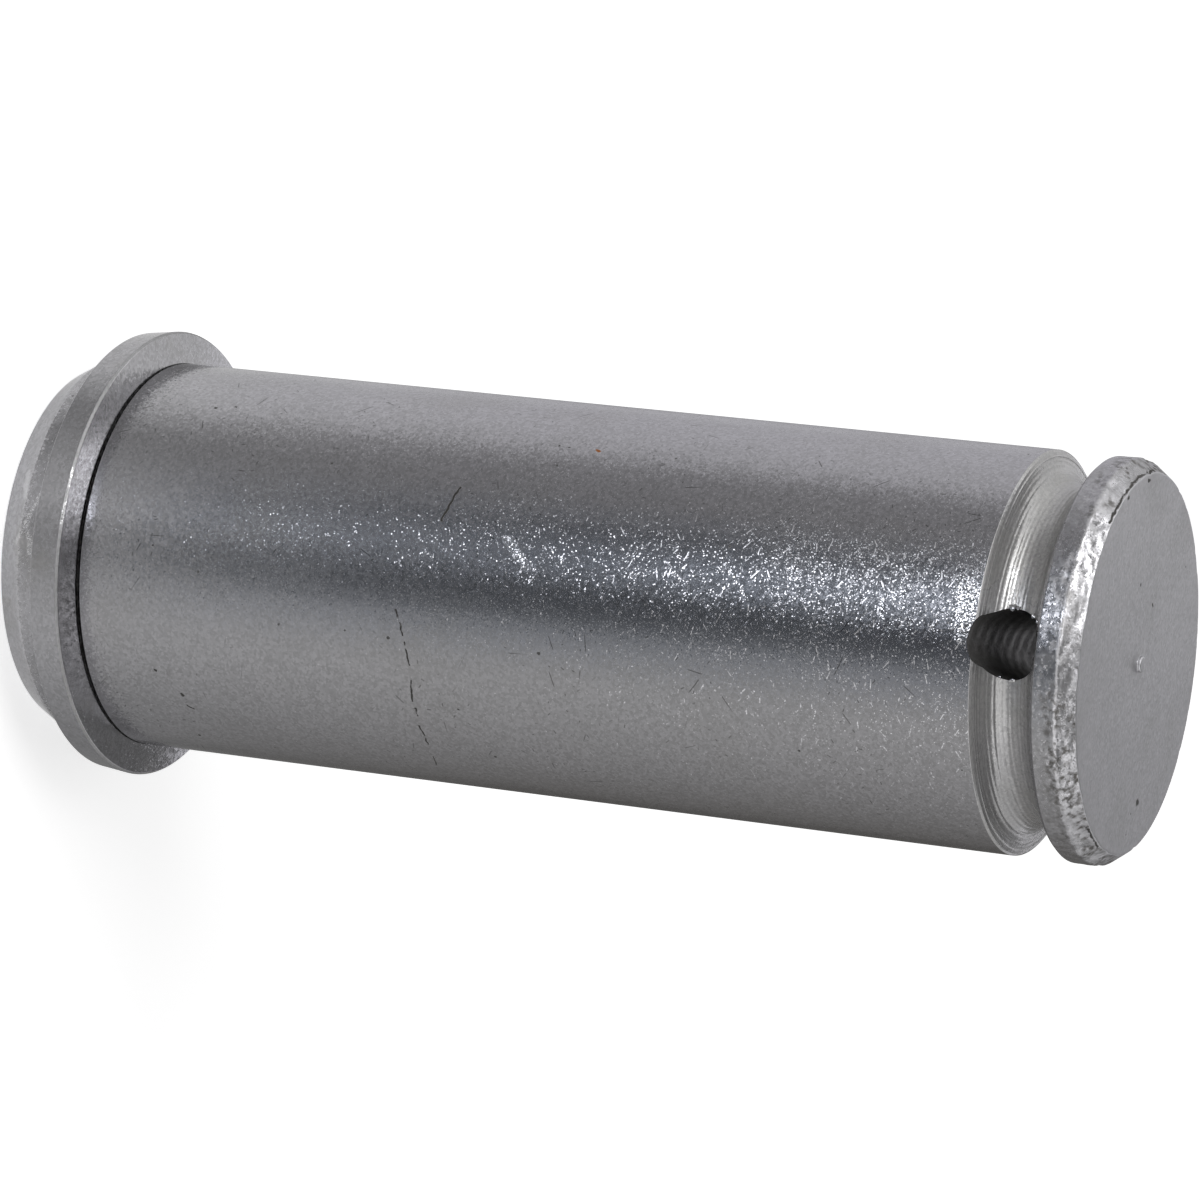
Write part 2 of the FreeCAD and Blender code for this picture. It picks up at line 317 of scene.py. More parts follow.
def zincFinish(name, look):
    # zinc plating on steel: tone in soft patches, crystal facets, scuffs, hair scratches and dark pits
    material, tree = newMaterial(name)
    place = effect(tree, unrolled)
    grime = grimeMask(tree, place, look)
    patches = effect(tree, clouds, Size=look["patchSize"], Low=0.3, High=0.7)["Value"]
    stains = effect(tree, clouds, Size=look["stainSize"], Low=0.55, High=0.75)["Value"]
    scuffs = scuffMask(tree, look)
    hairs = hairMask(tree, look)
    spots = effect(tree, pits, Cell=look["pitCell"], Radius=look["pitRadius"], Share=look["pitShare"])["Mask"]
    dark = calc(tree, "MAXIMUM", calc(tree, "MULTIPLY", spots, 0.85), markMask(tree, look["darkMarks"]))
    pale = markMask(tree, look["paleMarks"])

    worn = ramp(tree, place["Along"], *look["wornFrom"])
    sparkle = calc(tree, "MULTIPLY", calc(tree, "ADD", patches, 0.5), look["sparkle"])
    wear = calc(tree, "ADD", calc(tree, "MULTIPLY", worn, look["worn"]), sparkle)
    facets = effect(tree, platingFacets, Cell=look["cell"], Lean=look["lean"], Steep=look["steep"],
                    Share=calc(tree, "ADD", wear, pale))

    color = mixColor(tree, patches, look["tone"], look["otherTone"])
    color = mixColor(tree, calc(tree, "MULTIPLY", facets["Shade"], look["grain"]), color, wearAndGlintTones["gap"])
    color = mixColor(tree, calc(tree, "MULTIPLY", stains, look["stain"]), color, look["stainTone"])
    color = mixColor(tree, calc(tree, "MULTIPLY", hairs, 0.75), color, wearAndGlintTones["hair"])
    # pale marks: scuffed bare metal, and painted highlights where a lamp's reflection is drawn in as paler
    # colour
    color = mixColor(tree, calc(tree, "MULTIPLY", pale, 0.35), color, wearAndGlintTones["bareAndGlint"])
    color = mixColor(tree, grime, color, wearAndGlintTones["grime"])
    color = mixColor(tree, dark, color, wearAndGlintTones["pit"])
    color = mixColor(tree, markMask(tree, look["rustMarks"]), color, wearAndGlintTones["rust"])

    rough = calc(tree, "MULTIPLY_ADD", patches, look["roughSpread"], look["rough"])
    rough = calc(tree, "MULTIPLY_ADD", stains, look["stain"] * 0.3, rough)
    rough = calc(tree, "MULTIPLY_ADD", grime, 0.25, rough)
    rough = calc(tree, "MULTIPLY_ADD", pale, look["paleRough"] - look["rough"], rough)
    rough = calc(tree, "MULTIPLY_ADD", dark, 0.3, rough, clamp=True)
    metal = calc(tree, "MULTIPLY", calc(tree, "MULTIPLY_ADD", dark, -0.8, 1.0), look["metal"])
    tilt = calc(tree, "MULTIPLY", calc(tree, "MULTIPLY", scuffs, look["scuffLean"]), worn)
    normal = vector(tree, "NORMALIZE", vector(tree, "ADD", facets["Normal"], combined(tree, z=tilt)))
    if look["grime"]:    # only the dirt stands deep enough to show its relief
        height = calc(tree, "MULTIPLY_ADD", grime, -0.02, calc(tree, "MULTIPLY", dark, -0.015))
        inputs = {"Strength": 1.0, "Distance": mm, "Height": height, "Normal": normal}
        normal = add(tree, "ShaderNodeBump", inputs).outputs[0]
    shader = add(tree, "ShaderNodeBsdfPrincipled", {
        "Base Color": color, "Roughness": rough, "Metallic": metal, "Normal": normal,
        "Specular Tint": (*look["edgeTint"], 1.0)})
    add(tree, "ShaderNodeOutputMaterial", {"Surface": shader.outputs[0]})
    return material


plainLook = {
    "tone": (0.394, 0.39, 0.406), "otherTone": (0.38, 0.377, 0.391), "patchSize": 5.0, "grain": 0.45,
    "stain": 0.15, "stainSize": 9.0, "stainTone": (0.25, 0.24, 0.22), "grime": 0.0, "grimeFrom": (0.0, 1.0),
    "cell": 0.17, "lean": 0.05, "steep": 0.185, "sparkle": 0.1, "worn": 0.0, "wornFrom": (0.0, 1.0),
    "rough": 0.15, "roughSpread": 0.04, "paleRough": 0.16, "metal": 1.0, "edgeTint": (0.7, 0.7, 0.7),
    "scuffCell": 0.9, "scuffWidth": 0.085, "scuffShare": 0.0, "scuffLean": 0.1,
    "hairCell": 2.4, "hairShare": 0.0, "pitCell": 1.3, "pitRadius": 0.1, "pitShare": 0.05,
    "darkMarks": (), "paleMarks": (), "rustMarks": (),
}
shankLook = dict(
    plainLook, sparkle=0.28, worn=0.05, wornFrom=(-14.0, 64.0), scuffShare=0.3, scuffLean=0.19,
    hairShare=0.6, pitShare=0.12,
    darkMarks=(
        ((-27.3, 31.1), (-23.2, 30.9), 0.17), ((-23.2, 30.9), (-16.5, 30.6), 0.17),
        ((10.3, 28.4), (17.0, 28.9), 0.15), ((19.5, 29.0), (26.0, 29.3), 0.12),
        ((31.0, 29.3), (38.0, 29.2), 0.13), ((40.5, 29.3), (43.0, 29.3), 0.12),
        ((47.0, 29.3), (55.0, 29.4), 0.12), ((61.0, 29.4), (66.2, 29.2), 0.1),
        ((38.1, 11.1), (38.4, 11.2), 0.17), ((46.1, 12.6), (46.9, 12.7), 0.18),
        ((50.5, 12.8), (52.0, 13.1), 0.14), ((66.3, 12.4), (66.8, 12.4), 0.18),
        ((-48.1, 12.2), (-48.0, 12.3), 0.18), ((-49.5, 13.5), (-49.4, 13.6), 0.15),
    ),
    # the widest pale mark, just below the groove, is a painted highlight of the lamp
    paleMarks=(
        ((-13.3, 35.2), (-5.9, 36.9), 0.6), ((-13.0, 49.7), (-3.9, 51.5), 0.18),
        ((-8.0, 60.0), (-1.7, 60.2), 0.2), ((-13.0, 65.2), (-2.0, 65.4), 1.5),
    ),
    rustMarks=(((-46.7, 38.9), (-45.9, 39.1), 0.16),),
)
headLook = dict(
    plainLook, stain=0.3, stainSize=4.0, pitShare=0.1, rough=0.18,
    paleMarks=(((-18.0, 1.2), (6.0, 2.6), 0.5), ((-12.0, 2.8), (4.0, 1.4), 0.3)),
    darkMarks=(((44.1, 3.7), (44.6, 3.9), 0.3),),
)
collarLook = dict(plainLook, stain=0.2, stainSize=3.0, rough=0.16)
# the collar's front bevel is darker and rougher than the zinc round it; its pale mark is a painted highlight
edgeLook = dict(
    plainLook, tone=(0.3, 0.298, 0.305), otherTone=(0.27, 0.268, 0.272), rough=0.5, metal=0.8,
    paleMarks=(((-17.0, 5.62), (-3.0, 5.62), 0.24, 14.47),),
)
# painted shade: the narrow undercut between the collar and the shank is coloured near black for the shade
# that falls into it
creaseLook = dict(plainLook, tone=(0.03, 0.03, 0.03), otherTone=(0.02, 0.02, 0.02), rough=0.6, sparkle=0.0)
grooveLook = dict(
    plainLook, tone=(0.41, 0.405, 0.41), otherTone=(0.38, 0.375, 0.37), cell=0.13, pitShare=0.04,
    sparkle=0.25, steep=0.12, rough=0.25, metal=0.6,
    darkMarks=(((33.5, 67.8), (33.8, 67.9), 0.12, 10.6), ((27.6, 67.1), (27.9, 67.2), 0.1, 10.8),
               ((35.9, 66.8), (36.1, 66.8), 0.1, 11.2)),
    paleMarks=(((-24.0, 67.2), (-14.0, 67.4), 0.7, 10.8),),
)
# painted shade: the drilled wall is coloured far darker than the zinc outside, for the shade inside the hole
holeLook = dict(plainLook, tone=(0.15, 0.145, 0.14), otherTone=(0.1, 0.096, 0.093), rough=0.4, metal=0.7)
burrLook = dict(plainLook, tone=(0.45, 0.445, 0.45), otherTone=(0.4, 0.395, 0.4), rough=0.2, sparkle=0.5)
discLook = dict(
    plainLook, cell=0.2, lean=0.06, sparkle=0.3, stain=0.4, stainSize=1.6, stainTone=(0.14, 0.135, 0.125),
    scuffShare=0.5, pitShare=0.3, rough=0.24, roughSpread=0.1, grime=0.92, grimeFrom=(70.0, 71.3),
    # dirt along the chamfer's upper edge: where each stretch starts, and its width
    darkMarks=tuple(((start, 72.36), (start + 15, 72.36), width, 11.84) for start, width in (
        (-84, 0.16), (-70, 0.2), (-57, 0.16), (60, 0.14), (150, 0.16), (215, 0.16))),
)
faceLook = dict(
    plainLook, tone=(0.43, 0.427, 0.443), otherTone=(0.415, 0.412, 0.427), grain=0.2, rough=0.36,
    sparkle=0.0, stainSize=5.0, stain=0.12,
    # specks: where each starts and ends round the axis, its width, and its way out from the axis
    darkMarks=tuple(((start, endFace), (end, endFace), width, radius) for start, end, width, radius in (
        (109.8, 111.0, 0.42, 8.9), (-71.3, -71.0, 0.2, 5.0), (-109.4, -106.0, 0.15, 3.9),
        (-78.3, -76.0, 0.2, 11.3), (-58.0, -57.0, 0.25, 11.4))),
)

finishes = {
    "shank": zincFinish("zincShank", shankLook),
    "head": zincFinish("zincHead", headLook),
    "groove": zincFinish("turnedGroove", grooveLook),
    "collarFace": zincFinish("collarZinc", collarLook),
    "disc": zincFinish("batteredZinc", discLook),
    "faced": zincFinish("facedZinc", faceLook),
    "edge": zincFinish("dulledEdge", edgeLook),
    "crease": zincFinish("paintedCreaseShade", creaseLook),
    "hole": zincFinish("drilledWall", holeLook),
    "burr": zincFinish("burrZinc", burrLook),
}
finishOrder = list(finishes)
print("finishes ready")


# The pin, turned from the back face to the top of the pip

pinShape = {
    "segments": 320,
    "support": 0.04,                 # narrow strips beside the corners keep long flat runs shaded straight
    "roundingShare": 0.45,           # most of a run that a corner's rounding may take
    # radius, height, corner rounding, finish of the run that follows, its longest step
    "corners": (
        (0.0, 0.0, 0.0, "faced", 4.0),
        (11.6, 0.0, 0.2, "head", 0.4),
        (shankRadius, 1.6, 0.5, "head", 0.6),
        (shankRadius, 3.6, 0.06, "head", 0.6),
        (14.3, 3.6, 0.12, "head", 0.4),
        (14.54, 5.55, 0.06, "edge", 0.1),
        (14.4, 5.7, 0.06, "collarFace", 0.3),
        (12.52, 6.02, 0.02, "crease", 0.2),
        (12.2, 6.06, 0.02, "crease", 0.2),
        (12.2, 6.19, 0.02, "crease", 0.2),
        (shankRadius, 6.2, 0.03, "shank", 4.0),
        (shankRadius, 66.04, 0.05, "groove", 0.1),
        (12.36, 66.15, 0.04, "groove", 0.1),
        (12.15, 66.2, 0.0, "floor", 0.0),
        (12.15, 69.75, 0.0, "groove", 0.1),
        (12.25, 69.77, 0.05, "disc", 0.1),
        (12.47, 70.0, 0.12, "disc", 0.14),
        (shankRadius, 71.4, 0.4, "disc", 0.09),
        (11.68, endFace, 0.12, "faced", 1.2),
        (0.5, endFace, 0.04, "faced", 0.08),
        (0.5, 72.75, 0.12, "faced", 0.1),
        (0.0, 72.75, 0.0, "faced", 0.2),
    ),
    # the groove's round floor and its turning ridges, which vary by these shares and fade towards the disc
    "floorCentre": (12.15, 68.0),
    "floorRadius": 1.75,
    "ridges": 17,
    "ridgeWidths": (0.6, 1.4),
    "ridgeDepth": 0.03,
    "ridgeDepths": (0.4, 1.0),
    "ridgeFade": {"from": 0.5, "over": 0.2, "by": 0.65},
    "ridgeSteps": 6,
    "waver": {"from": 66.3, "to": 69.7, "inside": 12.1, "grain": (0.9, 0.9, 4.0), "depth": 0.012},
    # knocks on the tail disc's edge
    "knocks": {"above": 70.2, "rise": 0.9, "outside": 11.2, "spread": 0.4, "grain": 1.1, "depth": 0.11,
               "down": 0.7, "flatFrom": 72.4},
}


def grooveFloor(shape):
    # the round floor from wall to wall, in scallops left by the tool: sharp crests and round hollows
    random.seed(7)
    centreRadius, centreHeight = shape["floorCentre"]
    fading = shape["ridgeFade"]
    bounds = [0.0]
    for _ in range(shape["ridges"]):
        bounds.append(bounds[-1] + random.uniform(*shape["ridgeWidths"]))
    bounds = [bound / bounds[-1] for bound in bounds]
    points = []
    for start, end in zip(bounds, bounds[1:]):
        past = ((start + end) / 2 - fading["from"]) / fading["over"]
        fade = 1.0 - fading["by"] * max(0.0, min(1.0, past))
        widthShare = (end - start) * shape["ridges"]
        depth = shape["ridgeDepth"] * random.uniform(*shape["ridgeDepths"]) * fade * widthShare
        for step in range(shape["ridgeSteps"]):
            t = step / shape["ridgeSteps"]
            turn = math.pi * (start + (end - start) * t)
            reach = shape["floorRadius"] + depth * 4 * t * (1 - t) - 0.5 * depth
            points.append((centreRadius - reach * math.sin(turn), centreHeight - reach * math.cos(turn)))
    return points[1:]


def roundedCorner(shape, index):
    # a corner's points, from the run before it to the run after it
    corners = shape["corners"]
    radius, height, rounding = corners[index][:3]
    here = Vector((radius, height))
    if index in (0, len(corners) - 1):
        return [here]
    before, after = Vector(corners[index - 1][:2]) - here, Vector(corners[index + 1][:2]) - here
    half = before.normalized().angle(after.normalized()) / 2
    most = shape["roundingShare"]
    cut = min(rounding / math.tan(half), before.length * most, after.length * most)
    entry, leave = here + before.normalized() * cut, here + after.normalized() * cut
    count = 4 if rounding > 0.1 else 3    # a wide rounding gets one more step
    shares = [part / count for part in range(count + 1)]
    return [entry * (1 - t) ** 2 + here * (2 * t * (1 - t)) + leave * t ** 2 for t in shares]


def runShares(shape, length, longest):
    # where a straight run of that length is divided, as shares of it
    count = max(1, round(length / longest)) if longest else 1
    shares = [part / count for part in range(1, count)]
    if length > 5 * shape["support"]:
        strip = shape["support"] / length
        shares = [t for t in shares if 0.1 < t < 0.9 or length > 1.0]    # clear of the strips on short runs
        shares += [strip, 1.0 - strip]
    return sorted(set(shares))


def outline(shape):
    # rounds the corners and divides the runs; gives (radius, height) points and a finish for each run
    corners = shape["corners"]
    points, runs = [], []

    def put(point, finish):
        if points and (Vector(point) - Vector(points[-1])).length < tiny:
            return
        if points:
            runs.append(finish)
        points.append(tuple(point))

    for index, (_, _, _, finish, _) in enumerate(corners):
        arc = roundedCorner(shape, index)
        if index:
            runFinish, longest = corners[index - 1][3:]
            if runFinish == "floor":
                for point in grooveFloor(shape):
                    put(point, "floor")
            start, entry = Vector(points[-1]), arc[0]
            for t in runShares(shape, (entry - start).length, longest):
                put(start.lerp(entry, t), runFinish)
            put(entry, runFinish)
        for point in arc:
            put(point, finish)
    return points, runs


def battered(shape, point, radius):
    # knocks on the tail disc's edge, and a slight waver in the groove's ridges
    knocks, waver = shape["knocks"], shape["waver"]
    if point.z > knocks["above"] and radius > knocks["outside"]:
        knock = noise.fractal(point * knocks["grain"], 1.0, 2.0, 3) * knocks["depth"]
        edge = min(1.0, (point.z - knocks["above"]) / knocks["rise"])
        edge *= min(1.0, (radius - knocks["outside"]) / knocks["spread"])
        down = knocks["down"] if point.z < knocks["flatFrom"] else 0.0
        return point - Vector((point.x / radius, point.y / radius, down)) * max(0.0, knock) * edge
    if waver["from"] < point.z < waver["to"] and radius < waver["inside"]:
        spot = Vector([size * grain for size, grain in zip(point, waver["grain"])])
        out = noise.noise(spot) * waver["depth"]
        return point + Vector((point.x / radius, point.y / radius, 0.0)) * out
    return point


def makePin(shape):
    line, runs = outline(shape)
    segments = shape["segments"]
    points, faces, kinds = [], [], []
    ringStart = []
    for radius, height in line:
        ringStart.append(len(points))
        if radius < tiny:
            points.append(Vector((0, 0, height * mm)))
            continue
        for step in range(segments):
            point = polar(radius, 360.0 * step / segments, height)
            points.append(battered(shape, point, radius) * mm)
    for index, finish in enumerate(runs):
        a, b = ringStart[index], ringStart[index + 1]
        aSingle, bSingle = line[index][0] < tiny, line[index + 1][0] < tiny
        for step in range(segments):
            following = (step + 1) % segments
            if aSingle:
                faces.append((a, b + following, b + step))
            elif bSingle:
                faces.append((a + step, a + following, b))
            else:
                faces.append((a + step, a + following, b + following, b + step))
            kinds.append("groove" if finish == "floor" else finish)
    pin = makeMesh("pinBody", points, faces, [finishes[key] for key in finishOrder])
    pin.data.polygons.foreach_set("material_index", [finishOrder.index(kind) for kind in kinds])
    return pin


holeShape = {"height": 67.8, "radius": 2.15, "reach": 16.0, "segments": 112, "step": 0.4, "ridgePitch": 1.6,
             "ridgeDepth": 0.06}


def makeDrill(shape):
    # the drill's own form, with the rings that its feed leaves in the wall
    segments, reach = shape["segments"], shape["reach"]
    count = round(2 * reach / shape["step"])
    points, faces = [], []
    for ring in range(count + 1):
        depth = -reach + 2 * reach * ring / count
        for step in range(segments):
            turn = 2 * math.pi * step / segments
            wave = (depth / shape["ridgePitch"] + step / segments) % 1.0
            radius = shape["radius"] - shape["ridgeDepth"] * wave ** 3
            across, up = radius * math.cos(turn), radius * math.sin(turn)
            points.append(Vector((across, depth, shape["height"] + up)) * mm)
    for ring in range(count):
        for step in range(segments):
            following = (step + 1) % segments
            a, b = ring * segments, (ring + 1) * segments
            faces.append((a + step, b + step, b + following, a + following))
    faces.append(tuple(range(segments)))
    faces.append(tuple(reversed(range(count * segments, (count + 1) * segments))))
    return makeMesh("drill", points, faces, [finishes["hole"]])


def drillThrough(pin, drill):
    cut = pin.modifiers.new("crossHole", "BOOLEAN")
    cut.operation, cut.solver, cut.object = "DIFFERENCE", "EXACT", drill
    cut.material_mode = "TRANSFER"
    graph = bpy.context.evaluated_depsgraph_get()
    mesh = bpy.data.meshes.new_from_object(pin.evaluated_get(graph))
    pin.modifiers.clear()
    old = pin.data
    pin.data = mesh
    bpy.data.meshes.remove(old)
    bpy.data.objects.remove(drill)


# Burrs that the drill left round its mouth in the groove: each lies on the rim and reaches a little
# over the hole. They are thickest at the root and curl outward.
burrShape = {
    "steps": 6, "thickness": 0.05, "thinning": 0.7, "overhang": 0.9, "curl": 2.2, "proud": 0.03, "sink": 0.05,
    "bite": 0.02, "leastHalf": 0.01, "ragged": (0.8, 1.1),
    # direction round the mouth, radius from the pin's axis, length, width, height
    "burrs": (
        (97, 10.55, 0.5, 0.42, 0.14), (88, 10.45, 0.3, 0.2, 0.18), (56, 10.65, 0.44, 0.3, 0.18),
        (43, 10.9, 0.3, 0.2, 0.14), (-84, 10.45, 0.24, 0.4, 0.07), (-106, 10.5, 0.3, 0.26, 0.05),
    ),
}


def makeBurrs(shape, hole):
    random.seed(19)
    steps = shape["steps"]
    points, faces = [], []
    for turn, radius, length, width, height in shape["burrs"]:
        angle = math.radians(turn)
        # seen from the front, 0 is up the pin and 90 is towards -X
        away = Vector((-math.sin(angle), 0, math.cos(angle)))
        beside = Vector((math.cos(angle), 0, math.sin(angle)))
        start = away * (hole["radius"] - shape["bite"]) + Vector((0, 0, hole["height"]))
        start.y = -math.sqrt(radius ** 2 - start.x ** 2) + shape["sink"]
        outward = Vector((start.x, start.y, 0)).normalized()
        first = len(points)
        for step in range(steps + 1):
            t = step / steps
            middle = start + away * length * (0.5 - shape["overhang"] * t)
            middle += outward * (height * math.sin(shape["curl"] * t) + shape["proud"])
            half = width * (1 - t * t) ** 0.5 / 2 * random.uniform(*shape["ragged"]) + shape["leastHalf"]
            thick = shape["thickness"] * (1 - shape["thinning"] * t)
            for side in (-1, 1):
                points.append((middle + beside * half * side) * mm)
                points.append((middle + beside * half * side - outward * thick) * mm)
        for step in range(steps):
            a, b = first + 4 * step, first + 4 * step + 4
            for i, j in ((0, 2), (2, 3), (3, 1), (1, 0)):
                faces.append((a + i, a + j, b + j, b + i))
        last = first + 4 * steps
        faces.append((first + 0, first + 1, first + 3, first + 2))
        faces.append((last + 0, last + 2, last + 3, last + 1))
    chips = makeMesh("burrs", points, faces, [finishes["burr"]])
    chips.data.shade_smooth()
    chips.data.set_sharp_from_angle(angle=math.radians(50))
    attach(chips, "root")


pin = makePin(pinShape)
print("blank turned", len(pin.data.polygons), "faces")
drillThrough(pin, makeDrill(holeShape))
print("hole drilled", len(pin.data.polygons), "faces")
pin.data.shade_smooth()
pin.data.set_sharp_from_angle(angle=math.radians(35))
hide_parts("clevis_pin")
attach(pin, "root")
makeBurrs(burrShape, holeShape)
print("pin ready")


# Studio cards: grey tones that the metal mirrors, which light nothing

backEdge = 145.0    # beyond it, either way round, the ring's wall is low and the canopy starts higher


def onlyMirrored(obj):
    # a card that stands outside the picture: seen in the metal and nowhere else
    obj.visible_camera = False
    obj.visible_diffuse = False
    obj.visible_shadow = False
    obj.visible_transmission = False


def makePaintedCard(name, points, faces, shades):
    # a card that glows with a colour given at each point
    material, tree = newMaterial(name + "Shade")
    shade = add(tree, "ShaderNodeAttribute", attribute_name="shade").outputs["Color"]
    light = add(tree, "ShaderNodeEmission", {"Color": shade, "Strength": 1.0})
    add(tree, "ShaderNodeOutputMaterial", {"Surface": light.outputs[0]})
    material.cycles.emission_sampling = "NONE"
    card = makeMesh(name, points, faces, [material])
    layer = card.data.attributes.new("shade", "FLOAT_COLOR", "POINT")
    layer.data.foreach_set("color", np.array([(*tint, 1.0) for tint in shades], dtype=np.float32).ravel())
    onlyMirrored(card)


# A ring of cards on the floor round the pin, which rises to a wall further out. Each stop is a direction
# round the pin and the card's tone there: near the pin, far from it, and on the wall. The shine is a
# paler streak on the far part, and the tints colour that part.
cardRing = {
    "step": 2.0,
    # way out from the pin's side, height, share of the far tone, of the shine and of the wall's tone
    "profile": ((2.4, 0.3, 0.0, 0.0, 0.0), (11.0, 0.3, 0.0, 0.0, 0.0), (30.0, 0.3, 0.5, 0.1, 0.0),
                (80.0, 0.3, 1.0, 0.25, 0.0), (130.0, 0.3, 1.0, 0.6, 0.0), (180.0, 0.3, 1.0, 1.0, 0.0),
                (350.0, 0.3, 1.0, 1.0, 0.0), (600.0, 24.0, 1.0, 0.6, 0.0), (605.0, 38.0, 0.0, 0.0, 1.0),
                (630.0, 110.0, 0.0, 0.0, 1.0)),
    "frontWall": 420.0,    # the wall's top in front, up to the lamp
    "wallFade": 30.0,      # degrees before the back edge over which the wall comes down
    "near": ((-180, 0.28), (-160, 1.0), (-138, 1.1), (-118, 1.1), (-98, 0.98), (-86, 0.72), (-70, 0.43),
             (-55, 0.49), (-38, 0.64), (-20, 0.77), (-8, 0.6), (2, 0.55), (22, 0.7), (42, 0.78), (60, 0.73),
             (80, 0.6), (105, 0.49), (140, 0.43), (155, 0.3), (180, 0.28)),
    "far": ((-180, 0.12), (-168, 0.5), (-155, 1.0), (-128, 1.0), (-98, 0.83), (-82, 0.43), (-60, 0.36),
            (-46, 0.3), (-38, 0.17), (-5, 0.13), (7, 0.13), (14, 0.23), (22, 0.47), (36, 0.6), (52, 0.69),
            (75, 0.62), (105, 0.49), (130, 0.38), (150, 0.28), (160, 0.16), (180, 0.12)),
    "shine": ((-180, 0.0), (-40, 0.0), (-23, 0.5), (-15, 0.55), (-2, 0.0), (180, 0.0)),
    "wall": ((-180, 0.15), (-160, 0.8), (-130, 1.25), (-90, 1.1), (-66, 0.75), (-30, 0.85), (-8, 1.0),
             (4, 1.0), (25, 1.4), (48, 1.9), (70, 1.3), (110, 0.9), (150, 0.5), (180, 0.1)),
    "tints": ((-180, (0.99, 0.98, 1.04)), (-60, (1.0, 0.99, 1.01)), (-25, (0.9, 0.99, 1.13)),
              (10, (0.93, 1.0, 1.1)), (45, (1.0, 1.0, 0.99)), (110, (1.01, 1.0, 0.99)),
              (180, (1.04, 1.0, 0.95))),
}


def makeCardRing(shape):
    # a stop's column starts where the pin's side mirrors that direction, and runs out along it
    angles = np.arange(-180.0, 180.1, shape["step"])
    kinds = ("near", "far", "shine", "wall")
    near, far, shine, wall = (np.interp(angles, *zip(*shape[kind])) for kind in kinds)
    places, tints = zip(*shape["tints"])
    tints = [np.interp(angles, places, [tint[channel] for tint in tints]) for channel in range(3)]
    front = np.clip((backEdge - np.abs(angles)) / shape["wallFade"], 0.0, 1.0)
    points, shades, faces = [], [], []
    rows = len(shape["profile"])
    for column, angle in enumerate(angles):
        for row, (way, height, share, shineShare, wallShare) in enumerate(shape["profile"]):
            if row == rows - 1:
                height += (shape["frontWall"] - height) * front[column]
            points.append((polar(shankRadius, angle / 2, height) + polar(way, angle, 0.0)) * mm)
            tone = near[column] + (far[column] - near[column]) * share + shine[column] * shineShare
            tone += (wall[column] - tone) * wallShare
            shades.append([tone * (1.0 + (tint[column] - 1.0) * share) for tint in tints])
    for column in range(-1, len(angles) - 1):
        for row in range(rows - 1):
            a, b = column % len(angles) * rows + row, (column + 1) * rows + row
            faces.append((a, b, b + 1, a + 1))
    makePaintedCard("cardRing", points, faces, shades)


# A canopy above the wall: pale low down, which the collar catches by way of the shank, and darker above,
# which the edges that face up mirror. At the back it starts higher, clear of the flat cards there.
canopyShape = {
    "step": 6.0,
    "radius": 1150.0,
    "lowRows": 3,
    "elevations": (30.0, 35.0, 44.0, 46.5, 66.0, 88.0),
    "clearBack": (52.0, 53.0, 54.0, 57.0, 72.0, 88.0),
    "low": ((-180, 1.2), (-110, 2.1), (-95, 2.1), (-75, 3.8), (-62, 7.2), (-26, 7.2), (-12, 3.0), (2, 1.1),
            (10, 1.1), (25, 2.5), (60, 2.4), (90, 1.75), (115, 1.3), (150, 0.9), (180, 0.6)),
    "high": ((-180, 0.34), (-120, 0.32), (-84, 0.3), (-76, 0.45), (-64, 1.7), (-16, 1.7), (-2, 0.5),
             (10, 0.3), (60, 0.28), (140, 0.3), (180, 0.34)),
}


def makeCanopy(shape):
    angles = np.arange(-180.0, 180.1, shape["step"])
    low, high = (np.interp(angles, *zip(*shape[key])) for key in ("low", "high"))
    points, shades, faces = [], [], []
    rows = len(shape["elevations"])
    for column, angle in enumerate(angles):
        for row, elevation in enumerate(shape["clearBack" if abs(angle) > backEdge else "elevations"]):
            points.append(onDome(shape["radius"], angle, elevation) * mm)
            shades.append([low[column] if row < shape["lowRows"] else high[column]] * 3)
    for column in range(len(angles) - 1):
        for row in range(rows - 1):
            a, b = column * rows + row, (column + 1) * rows + row
            faces.append((a, b, b + 1, a + 1))
    makePaintedCard("canopy", points, faces, shades)


# Flat cards. Each faces a height on the pin's axis, the aim in millimetres, from a direction round it and
# above it, and its tints run from the left edge to the right one, as the pin sees it.
flatCards = {
    "sparkCard": {    # steep crystals on the front mirror it as sparks
        "aim": 40, "azimuth": -30, "elevation": 0, "distance": 0.3, "width": 0.25, "height": 0.079,
        "tints": ((0.8, 0.82, 0.86), (7.0, 7.2, 7.6), (5.2, 5.3, 5.6), (2.2, 2.3, 2.4), (1.3, 1.3, 1.35),
                  (1.0, 1.0, 1.0))},
    "backFlag": {     # the collar's front face mirrors it
        "aim": 6, "azimuth": 166, "elevation": 31.5, "distance": 0.9, "width": 0.5, "height": 0.52,
        "tints": ((0.22,) * 3, (0.24,) * 3, (0.22,) * 3, (0.3,) * 3)},
    "backGlow": {     # the end face mirrors it
        "aim": 72, "azimuth": 180, "elevation": 8, "distance": 0.9, "width": 0.9, "height": 0.2,
        "tints": ((1.6, 1.59, 1.66), (1.6, 1.59, 1.66))},
}


def makeFlatCard(name, look):
    aimed = Vector((0, 0, look["aim"] * mm))
    centre = aimed + onDome(look["distance"], look["azimuth"], look["elevation"])
    facing = (centre - aimed).to_track_quat("Z", "Y").to_matrix()
    columns = len(look["tints"]) - 1
    points, faces, shades = [], [], []
    for column, tint in enumerate(look["tints"]):
        across = look["width"] * (column / columns - 0.5)
        points += [centre + facing @ Vector((-across, side * look["height"] / 2, 0)) for side in (-1, 1)]
        shades += [tint] * 2
    for column in range(columns):
        faces.append((2 * column, 2 * column + 1, 2 * column + 3, 2 * column + 2))
    makePaintedCard(name, points, faces, shades)


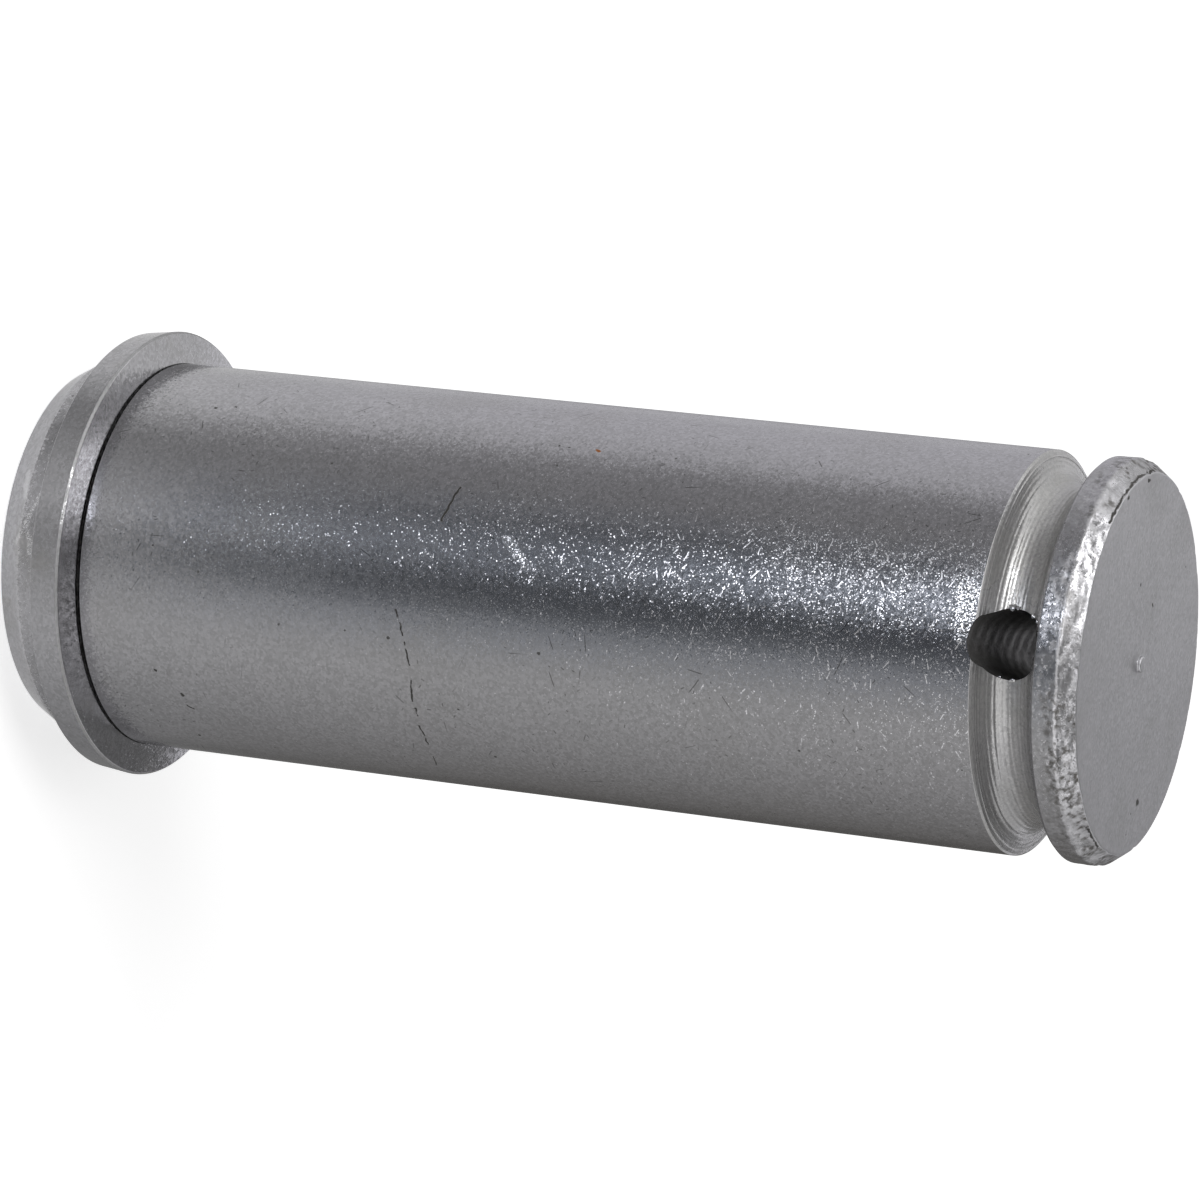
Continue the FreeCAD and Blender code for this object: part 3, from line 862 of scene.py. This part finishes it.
makeCardRing(cardRing)
makeCanopy(canopyShape)
for name, look in flatCards.items():
    makeFlatCard(name, look)
print("cards ready")


# Floor, world and lamp

floorLook = {"size": 6.0, "tone": 0.8, "glow": 0.6, "roughness": 0.9, "specular": 0.1}
worldLook = {"seen": 1.0, "light": 0.45}
white = (1.0, 1.0, 1.0, 1.0)


def whiteBackground(tree, seen, unseen):
    # what the camera sees directly, mirrored in metal or through glass gets one value, all other rays another
    path = add(tree, "ShaderNodeLightPath").outputs
    clear = calc(tree, "ADD", path["Is Camera Ray"], path["Is Glossy Ray"])
    clear = calc(tree, "ADD", clear, path["Is Transmission Ray"], clamp=True)
    return calc(tree, "MULTIPLY_ADD", clear, seen - unseen, unseen)


def makeFloor(look):
    material, tree = newMaterial("paleFloor")
    shader = add(tree, "ShaderNodeBsdfPrincipled", {
        "Base Color": (look["tone"], look["tone"], look["tone"], 1.0), "Roughness": look["roughness"],
        "Specular IOR Level": look["specular"], "Emission Color": white,
        "Emission Strength": whiteBackground(tree, look["glow"], 0.0)})
    add(tree, "ShaderNodeOutputMaterial", {"Surface": shader.outputs[0]})
    material.cycles.emission_sampling = "NONE"
    half = look["size"] / 2
    floor = makeMesh("floor", [(-half, -half, 0), (half, -half, 0), (half, half, 0), (-half, half, 0)],
                     [(0, 1, 2, 3)], [material])


def makeWorld(look):
    world = bpy.data.worlds.new("studio")
    bpy.context.scene.world = world
    world.use_nodes = True
    tree = world.node_tree
    tree.nodes.clear()
    strength = whiteBackground(tree, look["seen"], look["light"])
    light = add(tree, "ShaderNodeBackground", {"Color": white, "Strength": strength})
    add(tree, "ShaderNodeOutputWorld", {"Surface": light.outputs[0]})


keySoftbox = {"azimuth": -52, "elevation": 47, "distance": 0.8, "width": 0.62, "height": 0.4, "radiance": 3.3,
              "aim": 40}


def makeLamp(name, look):
    centre = onDome(look["distance"], look["azimuth"], look["elevation"])
    data = bpy.data.lights.new(name, "AREA")
    data.shape, data.size, data.size_y = "RECTANGLE", look["width"], look["height"]
    data.energy = look["radiance"] * math.pi * look["width"] * look["height"]
    lamp = bpy.data.objects.new(name, data)
    lamp.location = centre
    lamp.rotation_euler = (centre - Vector((0, 0, look["aim"] * mm))).to_track_quat("Z", "Y").to_euler()
    lamp.visible_camera = False
    lamp.visible_glossy = False    # the canopy's pale patch stands for it in the metal
    bpy.context.scene.collection.objects.link(lamp)


makeFloor(floorLook)
makeWorld(worldLook)
makeLamp("keySoftbox", keySoftbox)
print("studio ready")


# Camera, placed from circles fitted to the photographed edges

cameraPlace = {"location": (10.126, -324.002, 173.589), "turn": (-14.935, -66.260, 108.069), "lens": 167.006,
               "sensor": 36.0, "nearest": 0.01, "furthest": 20.0}


def makeCamera(place):
    data = bpy.data.cameras.new("camera")
    data.lens, data.sensor_width = place["lens"], place["sensor"]
    data.clip_start, data.clip_end = place["nearest"], place["furthest"]
    camera = bpy.data.objects.new("camera", data)
    camera.location = Vector(place["location"]) * mm
    camera.rotation_euler = Euler([math.radians(angle) for angle in place["turn"]])
    bpy.context.scene.collection.objects.link(camera)
    bpy.context.scene.camera = camera


makeCamera(cameraPlace)
bpy.context.scene.view_settings.view_transform = "Standard"
